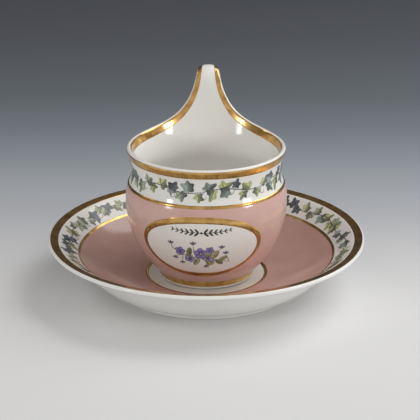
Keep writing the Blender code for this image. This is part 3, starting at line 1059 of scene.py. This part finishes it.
class Painter:
    """One painting on a glaze, round a middle run and angle."""

    def __init__(self, glaze, middle, angle=0.0):
        self.glaze = glaze
        self.middle = middle
        self.angle = angle
        self.radius = glaze.section(middle).x
        self.work = bmesh.new()
        self.paint = self.work.verts.layers.float_color.new("paint")
        self.layer = 0

    def patch(self, columns, rows, shape, colour):
        """Lays a grid: shape gives its flat place and colour its paint, from shares across and along."""
        self.layer = (self.layer + 1) % LAYERS
        raised = ENAMEL + LAYER_STEP * self.layer
        for vert, across, along in grid(self.work, columns, rows):
            place = shape(across, along)
            vert[self.paint] = colour(across, along)
            vert.co = self.glaze.spot(self.angle + place.x / self.radius, self.middle + place.y, raised)

    def blob(self, middle, heading, radius_at, tone_at, slim=1.0):
        """A round patch whose radius depends on the turn from its heading, slimmed across it."""
        ahead = heading_to(heading)
        aside = heading_to(heading + math.pi / 2)

        def shape(turn, out):
            turned = 2 * math.pi * turn
            step = ahead * math.cos(turned) + aside * (math.sin(turned) * slim)
            return middle + step * (radius_at(turned) * out)
        self.patch(BLOB_COLUMNS, BLOB_ROWS, shape, lambda turn, out: tone_at(2 * math.pi * turn, out))

    def stroke(self, points, width, tone):
        """A brush stroke along a line of points, thickest in its first half and drawn out to a tip."""
        def shape(across, along):
            index = min(int(across * (len(points) - 1)), len(points) - 2)
            place = points[index].lerp(points[index + 1], across * (len(points) - 1) - index)
            way = (points[index + 1] - points[index]).normalized()
            pressed = math.sin(math.pi * min(1.0, across * (1 - STROKE_LEAD) + STROKE_LEAD))
            swell = width * (STROKE_TIP + (1 - STROKE_TIP) * pressed)
            return place + Vector((-way.y, way.x)) * (along - 0.5) * swell
        self.patch(len(points) - 1, 1, shape, lambda across, along: tone)

    def straight(self, start, end, width, tone):
        """A straight brush stroke."""
        self.stroke([start, start.lerp(end, 0.5), end], width, tone)

    def finish(self, name, outward):
        thicken(self.work, outward)
        return make_piece(name, self.work, enamel, self.glaze.body)


def shade(tone, factor):
    return (tone[0] * factor, tone[1] * factor, tone[2] * factor, 1.0)


def mingle(tone, other, share):
    """A tone with a share of another mixed in."""
    return tuple(mine + (theirs - mine) * share for mine, theirs in zip(tone, other))


# %% [markdown]
# ## Ivy
#
# An ivy leaf has five pointed lobes and a notch where its stalk joins. Its radius is a low circle with a
# bump for each lobe, each bump a turn, a height and a width, and no two leaves have the same bumps. A
# painted leaf is a light wash with a dark wash over one half of it and veins drawn with a fine brush, so
# the tone turns from light to dark across the middle vein.

# %% Ivy leaf
MAIN_LOBE = (0.0, 0.52, 0.38)
SIDE_LOBE = (1.16, 0.40, 0.34)
BACK_LOBE = (2.15, 0.20, 0.32)
LOBES = ((1, MAIN_LOBE), (1, SIDE_LOBE), (-1, SIDE_LOBE), (1, BACK_LOBE), (-1, BACK_LOBE))
LOBE_DRIFT = 0.18
LOBE_GROWTH = (0.6, 1.3)
LEAF_BODY = 0.54
LEAF_NOTCH = 0.34
LEAF_NOTCH_WIDTH = 0.35
LEAF_SLIMNESS = (0.80, 1.08)
LEAF_TONES = (tint(208, 212, 158), tint(192, 200, 144), tint(178, 188, 156), tint(164, 180, 172),
              tint(138, 152, 148), tint(224, 206, 118), tint(102, 108, 126))
LEAF_LIGHT = 1.15
LEAF_EDGE_LOSS = 0.25
DARK_TONES = (tint(92, 100, 74), tint(76, 88, 74), tint(66, 70, 84), tint(56, 60, 54))
DARK_AT_MIDDLE = 0.55
DARK_EDGE_GAIN = 0.40
FOLD_SHARPNESS = 2.6
VEINS = 3
VEIN_TONE = tint(66, 72, 60)
VEIN_WIDTH = 0.085
VEIN_START = 0.20
VEIN_REACH = 0.75


def grown_lobes(draw):
    """The lobes of one leaf, each as a turn, a height and a width."""
    lobes = []
    for side, (turn, height, width) in LOBES:
        drift = draw.uniform(-LOBE_DRIFT, LOBE_DRIFT)
        lobes.append((side * turn + drift, height * draw.uniform(*LOBE_GROWTH), width))
    return lobes


def leaf_radius(turned, lobes):
    turned = (turned + math.pi) % (2 * math.pi) - math.pi
    radius = LEAF_BODY
    for lobe, height, width in lobes:
        away = (turned - lobe + math.pi) % (2 * math.pi) - math.pi
        radius += height * math.exp(-(away / width) ** 2)
    notch = math.pi - abs(turned)
    return radius - LEAF_NOTCH * math.exp(-(notch / LEAF_NOTCH_WIDTH) ** 2)


def paint_leaf(painter, middle, heading, size, weights, draw):
    lobes = grown_lobes(draw)
    slim = draw.uniform(*LEAF_SLIMNESS)
    tone = draw.choices(LEAF_TONES, weights)[0]
    dark_tone = draw.choice(DARK_TONES)
    dark_side = draw.choice((-1, 1))

    def tone_at(turned, out):
        dark_half = 0.5 + 0.5 * math.tanh(FOLD_SHARPNESS * dark_side * math.sin(turned))
        washed = mingle(tone, dark_tone, dark_half * (DARK_AT_MIDDLE + DARK_EDGE_GAIN * out))
        return shade(washed, LEAF_LIGHT - LEAF_EDGE_LOSS * out * out)

    painter.blob(middle, heading, lambda turned: leaf_radius(turned, lobes) * size, tone_at, slim)
    foot = middle - heading_to(heading) * size * VEIN_START
    for lobe, *_ in lobes[:VEINS]:
        end = middle + heading_to(heading + lobe * slim) * leaf_radius(lobe, lobes) * size * VEIN_REACH
        painter.straight(foot, end, size * VEIN_WIDTH, VEIN_TONE)


# %% [markdown]
# ## Garlands
#
# The same ivy runs round the cup's neck and the saucer's border: a stem in shallow waves, with leaves
# turned out to both sides of it and a few young shoots that curl. One function paints both, with leaf
# tones that are drawn by weight for each of them. The random draws are seeded, so the garland is the same
# each time.

# %% Ivy garlands
STEM_TONE = tint(104, 96, 100)
STEM_WIDTH = 0.0005
STEM_POINTS_PER_WAVE = 12
STALK_WIDTH = 0.0004
STALK_REACH = (0.40, 0.75)
LEAF_DRIFT = 0.25
LEAF_GROWTH = (0.72, 1.12)
LEAF_TURN = 1.3
LEAVES_PER_TENDRIL = 4
TENDRIL_WIDTH = 0.0003
TENDRIL_LENGTH = 1.6
TENDRIL_CURLS = (-1.0, 1.0)
TENDRIL_STEPS = 9


def paint_tendril(painter, start, heading, length, curl):
    """A thin shoot that curls up more and more towards its end."""
    points = [start]
    for step in range(TENDRIL_STEPS):
        heading += curl * step / TENDRIL_STEPS
        points.append(points[-1] + heading_to(heading) * length / TENDRIL_STEPS)
    painter.stroke(points, TENDRIL_WIDTH, STEM_TONE)


def paint_garland(painter, leaves, waves, swing, size, half, weights, seed):
    """A closed garland of this many leaves, kept inside half a border's width to both sides."""
    draw = random.Random(seed)
    length = 2 * math.pi * painter.radius

    def stem(share):
        return Vector((length * share, swing * math.sin(2 * math.pi * waves * share)))

    steps = waves * STEM_POINTS_PER_WAVE
    for start in range(0, steps, STEM_POINTS_PER_WAVE):
        points = [stem((start + step) / steps) for step in range(STEM_POINTS_PER_WAVE + 1)]
        painter.stroke(points, STEM_WIDTH, STEM_TONE)
    for index in range(leaves):
        joint = stem((index + draw.uniform(-LEAF_DRIFT, LEAF_DRIFT)) / leaves)
        leaf_size = size * draw.uniform(*LEAF_GROWTH)
        heading = draw.uniform(-LEAF_TURN, LEAF_TURN) + math.pi * (index % 2)
        place = joint + heading_to(heading) * leaf_size * draw.uniform(*STALK_REACH)
        place.y = min(max(place.y, leaf_size - half), half - leaf_size)
        if index % LEAVES_PER_TENDRIL == 0:
            curl = draw.choice(TENDRIL_CURLS)
            paint_tendril(painter, joint, heading + math.pi, size * TENDRIL_LENGTH, curl)
        painter.straight(joint, place, STALK_WIDTH, STEM_TONE)
        paint_leaf(painter, place, heading, leaf_size, weights, draw)


NECK_IVY_HEIGHT = 0.0572
NECK_LEAF_WEIGHTS = (10, 8, 6, 4, 3, 1, 2)
neck_painter = Painter(cup_glaze, cup_line.reaching(NECK_IVY_HEIGHT, HEIGHT))
paint_garland(neck_painter, leaves=60, waves=7, swing=0.0012, size=0.0044, half=0.0062,
              weights=NECK_LEAF_WEIGHTS, seed=33)
neck_painter.finish("neck_ivy", outside_cup)

BORDER_IVY_RADIUS = 0.0706
BORDER_LEAF_WEIGHTS = (7, 5, 6, 5, 4, 0, 6)
border_painter = Painter(saucer_glaze, saucer_line.reaching(BORDER_IVY_RADIUS, RADIUS))
paint_garland(border_painter, leaves=104, waves=13, swing=0.0014, size=0.0047, half=0.0053,
              weights=BORDER_LEAF_WEIGHTS, seed=14)
border_painter.finish("border_ivy", lambda place: Vector((0.0, 0.0, 1.0)))

# %% [markdown]
# ## The posy in the reserve
#
# A small spray of violet-blue flowers lies across the white oval: five-petalled flowers with a yellow
# eye, grey-green leaves, a few buds and a cut stem. Petals and leaves are ovals that start at their foot.
# Their sizes are shares of the flower or leaf that they belong to.

# %% Flowers
PETALS = 5
PETAL_TONES = (tint(138, 132, 182), tint(120, 114, 168), tint(158, 152, 196))
PETAL_WIDTH = 0.85
PETAL_LIGHT = 1.60
PETAL_EDGE_LOSS = 1.00
PETAL_TIP_GAIN = 0.25
FOLD_LENGTH = 0.6
FOLD_WIDTH = 0.16
FOLD_SHADE = 0.35
EYE_TONE = tint(236, 220, 152)
EYE_SIZE = 0.17
SPRAY_LEAF_TONES = (tint(163, 165, 122), tint(133, 137, 100), tint(178, 174, 133))
SPRAY_LEAF_WIDTH = 0.5
SPRAY_LEAF_LIGHT = 1.05
SPRAY_LEAF_SIDE_LOSS = 0.40
SPRAY_LEAF_EDGE_LOSS = 0.15
MIDRIB_LENGTH = 0.9
MIDRIB_WIDTH = 0.06
MIDRIB_SHADE = 0.5


def paint_oval(painter, foot, heading, length, width, tone_at):
    """An oval patch that starts at its foot, such as a petal or a plain leaf."""
    middle = foot + heading_to(heading) * length / 2
    painter.blob(middle, heading, lambda turned: length / 2, tone_at, width / length)


def paint_flower(painter, middle, size, tone, heading):
    def petal_tone(turned, out):
        return shade(tone, PETAL_LIGHT - PETAL_EDGE_LOSS * out * out + PETAL_TIP_GAIN * math.cos(turned))

    for petal in range(PETALS):
        turn = heading + 2 * math.pi * petal / PETALS
        paint_oval(painter, middle, turn, size, size * PETAL_WIDTH, petal_tone)
    for petal in range(PETALS):
        turn = heading + 2 * math.pi * (petal + 0.5) / PETALS
        end = middle + heading_to(turn) * size * FOLD_LENGTH
        painter.straight(middle, end, size * FOLD_WIDTH, shade(tone, FOLD_SHADE))
    painter.blob(middle, 0.0, lambda turned: size * EYE_SIZE, lambda turned, out: EYE_TONE)


def paint_spray_leaf(painter, foot, heading, length, tone):
    def leaf_tone(turned, out):
        side_loss = SPRAY_LEAF_SIDE_LOSS * max(0.0, math.sin(turned))
        return shade(tone, SPRAY_LEAF_LIGHT - side_loss - SPRAY_LEAF_EDGE_LOSS * out * out)

    paint_oval(painter, foot, heading, length, length * SPRAY_LEAF_WIDTH, leaf_tone)
    end = foot + heading_to(heading) * length * MIDRIB_LENGTH
    painter.straight(foot, end, length * MIDRIB_WIDTH, shade(tone, MIDRIB_SHADE))


# %% [markdown]
# ## Laying out the posy
#
# The posy is set out in millimetres from its middle: points along the stem, leaves with a foot, a
# heading and a length, flowers with a middle and a size, and buds that hang on the nearest point of the
# stem.

# %% Posy
MM = 0.001
POSY_HEIGHT = 0.0240
POSY_TURN = math.radians(-4.0)
POSY_SEED = 5
POSY_STEM = ((-13.0, 3.4), (-8.0, 0.4), (-2.0, -1.4), (5.0, -2.2), (15.4, -4.6))
POSY_STEM_TONE = tint(122, 116, 96)
POSY_STEM_WIDTH = 0.6 * MM
POSY_LEAVES = ((6.0, -2.2, 0.55, 6.2), (8.0, -2.8, 2.2, 5.0), (0.0, -1.8, 3.7, 5.6),
               (-5.4, -0.6, 0.2, 5.4), (1.5, -1.4, 0.9, 6.0), (4.0, -2.2, 2.9, 4.8),
               (9.6, -3.2, 1.1, 5.0), (-3.0, -1.0, 4.4, 4.6), (7.0, -2.6, 3.4, 4.0))
POSY_FLOWERS = ((0.6, 1.3, 3.4), (4.4, -1.9, 3.0), (-4.9, -2.2, 2.7), (-9.4, 2.1, 2.7), (5.2, 3.2, 2.2))
POSY_BUDS = ((-13.8, 5.8), (-9.0, -4.4), (-2.8, 6.4), (3.4, -6.6), (10.8, 4.2), (-12.4, -1.4),
             (13.0, 0.6))
BUD_TONE = tint(113, 107, 133)
BUD_LIGHT = 1.2
BUD_EDGE_LOSS = 0.4
BUD_TURNS = (-0.8, 0.0, 0.8)
BUD_LENGTH = 2.0 * MM
BUD_WIDTH = 0.8 * MM
BUD_STALK_WIDTH = 0.4 * MM


def bud_tone(turned, out):
    return shade(BUD_TONE, BUD_LIGHT - BUD_EDGE_LOSS * out)


def paint_posy(painter):
    draw = random.Random(POSY_SEED)
    stem = [Vector(point) * MM for point in POSY_STEM]
    for near, far in zip(stem, stem[1:]):
        painter.straight(near, far, POSY_STEM_WIDTH, POSY_STEM_TONE)
    for across, upward in POSY_BUDS:
        bud = Vector((across, upward)) * MM
        joint = min(stem, key=lambda point: (point - bud).length)
        painter.straight(joint, bud, BUD_STALK_WIDTH, POSY_STEM_TONE)
        hanging = 0.0 if upward > 0 else math.pi
        for turn in BUD_TURNS:
            paint_oval(painter, bud, turn + hanging, BUD_LENGTH, BUD_WIDTH, bud_tone)
    for across, upward, heading, length in POSY_LEAVES:
        foot = Vector((across, upward)) * MM
        paint_spray_leaf(painter, foot, heading, length * MM, draw.choice(SPRAY_LEAF_TONES))
    for across, upward, size in POSY_FLOWERS:
        middle = Vector((across, upward)) * MM
        tone = draw.choice(PETAL_TONES)
        paint_flower(painter, middle, size * MM, tone, draw.uniform(0.0, math.pi))


posy_painter = Painter(cup_glaze, cup_line.reaching(POSY_HEIGHT, HEIGHT), POSY_TURN)
paint_posy(posy_painter)
posy_painter.finish("reserve_posy", outside_cup)

# %% [markdown]
# ## Laurel above the posy
#
# Two slender laurel sprigs meet in the middle of the place above the posy, drawn in one dark colour with
# a fine brush. Leaf pairs get smaller towards the ends.

# %% Laurel sprigs
LAUREL_HEIGHT = 0.0368
LAUREL_TURN = math.radians(-2.2)
LAUREL_HALF = 0.0152
LAUREL_SAG = 0.0014
LAUREL_TONE = tint(72, 66, 63)
LAUREL_PAIRS = 6
LAUREL_TWIG_WIDTH = 0.30 * MM
LAUREL_KNOT = 0.6 * MM
LAUREL_LEAF = 0.0029
LAUREL_LEAF_WIDTH = 0.34
LAUREL_LEAF_TURNS = (0.75, 2.2)
LAUREL_FIRST_SIZE = 1.1
LAUREL_SIZE_LOSS = 0.6


def laurel_tone(turned, out):
    return LAUREL_TONE


def paint_laurel(painter):
    steps = 2 * LAUREL_PAIRS
    for side in (-1, 1):
        twig = [Vector((side * LAUREL_HALF * step / steps, LAUREL_SAG * (step / steps) ** 2))
                for step in range(steps + 1)]
        painter.stroke(twig, LAUREL_TWIG_WIDTH, LAUREL_TONE)
        for pair in range(1, LAUREL_PAIRS + 1):
            foot = twig[2 * pair - 1]
            length = LAUREL_LEAF * (LAUREL_FIRST_SIZE - LAUREL_SIZE_LOSS * pair / LAUREL_PAIRS)
            for turn in LAUREL_LEAF_TURNS:
                paint_oval(painter, foot, side * turn, length, length * LAUREL_LEAF_WIDTH, laurel_tone)
    painter.blob(Vector((0.0, 0.0)), 0.0, lambda turned: LAUREL_KNOT, laurel_tone)


laurel_painter = Painter(cup_glaze, cup_line.reaching(LAUREL_HEIGHT, HEIGHT), LAUREL_TURN)
paint_laurel(laurel_painter)
laurel_painter.finish("reserve_laurel", outside_cup)

# %% [markdown]
# ## The stage
#
# The pair stands on a sheet of pale paper. Its colour carries painted shade that darkens it softly
# towards the back, so no light is spent on that darkening, and the floor keeps the shadow that the lamps
# cast. The tones are set by how far back they lie, from 0 at the paper's front to 1 where it stops
# getting darker.

# %% Floor
FLOOR_HALF = 40.0
PAPER_FRONT = -0.14
PAPER_BACK = 0.66
PAPER_ROUGHNESS = 0.75
# Painted shade: the paper's pale tone darkens step by step towards the back, in place of light falling
# off.
PAPER_AND_PAINTED_SHADE_TONES = ((0.0, tint(230, 230, 231)), (0.15, tint(230, 230, 231)), (0.22, tint(212, 212, 214)),
               (0.30, tint(182, 185, 191)), (0.42, tint(141, 148, 156)), (0.50, tint(117, 123, 132)),
               (0.60, tint(94, 101, 108)), (0.80, tint(76, 80, 88)), (1.0, tint(67, 71, 79)))


def paper():
    finish = Finish("paper", PAPER_ROUGHNESS)
    axes = finish.nodes.new("ShaderNodeSeparateXYZ")
    finish.links.new(finish.place.outputs["Object"], axes.inputs["Vector"])
    depth = carried_over(finish.tree, axes.outputs["Y"], PAPER_FRONT, PAPER_BACK, 0.0, 1.0)
    # The ramp paints that shade into the floor's colour, darker the further back a point lies.
    ramp = finish.nodes.new("ShaderNodeValToRGB")
    while len(ramp.color_ramp.elements) < len(PAPER_AND_PAINTED_SHADE_TONES):
        ramp.color_ramp.elements.new(0.5)
    for element, (position, tone) in zip(ramp.color_ramp.elements, PAPER_AND_PAINTED_SHADE_TONES):
        element.position = position
        element.color = tone
    finish.links.new(depth, ramp.inputs["Fac"])
    finish.colour(ramp.outputs["Color"])
    return finish.material


floor_work = bmesh.new()
bmesh.ops.create_grid(floor_work, x_segments=1, y_segments=1, size=FLOOR_HALF)
floor = mesh_object("floor", floor_work, paper())
print("the paper has", len(PAPER_AND_PAINTED_SHADE_TONES), "tones")

# %% [markdown]
# ## Light
#
# Four soft boxes stand round the table, all a touch cool. The two small ones in front make the glints on
# the raised lip and the shoulder. The large one behind at the right is the strongest and softest, so the
# shadow falls softly to the front left, and a weak one behind at the left opens it up. The room adds a
# slightly warm light that is even in front and fades to dark towards the back left, and the gold on the
# saucer mirrors that dark.

# %% Lights
AIM = Vector((0.0, 0.0, 0.04))
BOX_DISTANCE = 1.2
LAMP_COLOUR = (0.98, 0.992, 1.0)
SOFT_BOXES = {
    "front_left_box": {"turn": -53, "height": 18, "size": (0.16, 0.20), "watts": 1.9},
    "front_right_box": {"turn": 63, "height": 18, "size": (0.24, 0.20), "watts": 2.65},
    "side_left_box": {"turn": -115, "height": 42, "size": (0.30, 0.30), "watts": 0.6},
    "side_right_box": {"turn": 118, "height": 50, "size": (0.85, 0.85), "watts": 6.7},
}


def soft_box(name, turn, height, size, watts):
    """A soft box aimed at the cup, at degrees of turn from the front to the right and of height."""
    turn, height = math.radians(turn), math.radians(height)
    lamp = bpy.data.lights.new(name, "AREA")
    lamp.shape = "RECTANGLE"
    lamp.size, lamp.size_y = size
    lamp.color = LAMP_COLOUR
    lamp.energy = watts
    holder = put_in_scene(name, lamp)
    level = BOX_DISTANCE * math.cos(height)
    holder.location = (level * math.sin(turn), -level * math.cos(turn), BOX_DISTANCE * math.sin(height))
    holder.rotation_euler = (AIM - holder.location).to_track_quat("-Z", "Y").to_euler()
    print(name, "gives", watts, "watts")


for name, settings in SOFT_BOXES.items():
    soft_box(name, **settings)

# %% Room
ROOM_FRONT = -0.4
ROOM_BACK = 0.85
ROOM_LIGHT = 0.64
ROOM_DARK = 0.095
ROOM_AXIS = (-0.40, 0.92, 0.0)
ROOM_COLOUR = (1.0, 0.972, 0.93, 1.0)

world = bpy.data.worlds.new("room")
world.use_nodes = True
room = world.node_tree
room_place = room.nodes.new("ShaderNodeTexCoord")
room_along = room.nodes.new("ShaderNodeVectorMath")
room_along.operation = "DOT_PRODUCT"
room_along.inputs[1].default_value = ROOM_AXIS
room.links.new(room_place.outputs["Generated"], room_along.inputs[0])
room_depth = carried_over(room, room_along.outputs["Value"], ROOM_FRONT, ROOM_BACK, ROOM_LIGHT, ROOM_DARK)
room.nodes["Background"].inputs["Color"].default_value = ROOM_COLOUR
room.links.new(room_depth, room.nodes["Background"].inputs["Strength"])
bpy.context.scene.world = world
print("the room's light goes from", ROOM_LIGHT, "to", ROOM_DARK)

# %% [markdown]
# ## Camera
#
# The camera stands a little to the right of the front and looks down by some twenty degrees through a
# long lens, which keeps the ellipses of rim and saucer flat.

# %% Camera
CAMERA_TURN = math.radians(1.1)
CAMERA_PITCH = math.radians(20.64)
CAMERA_PLACE = (0.01634, -0.75349, 0.32370)
LENS_LENGTH = 135.13
SENSOR_WIDTH = 36.0

lens = bpy.data.cameras.new("camera")
lens.lens = LENS_LENGTH
lens.sensor_width = SENSOR_WIDTH
camera = put_in_scene("camera", lens)
camera.location = CAMERA_PLACE
camera.rotation_euler = (math.pi / 2 - CAMERA_PITCH, 0.0, CAMERA_TURN)
bpy.context.scene.camera = camera
bpy.context.scene.view_settings.view_transform = "Standard"
print("the camera stands", round(camera.location.length, 3), "from the middle of the foot ring")
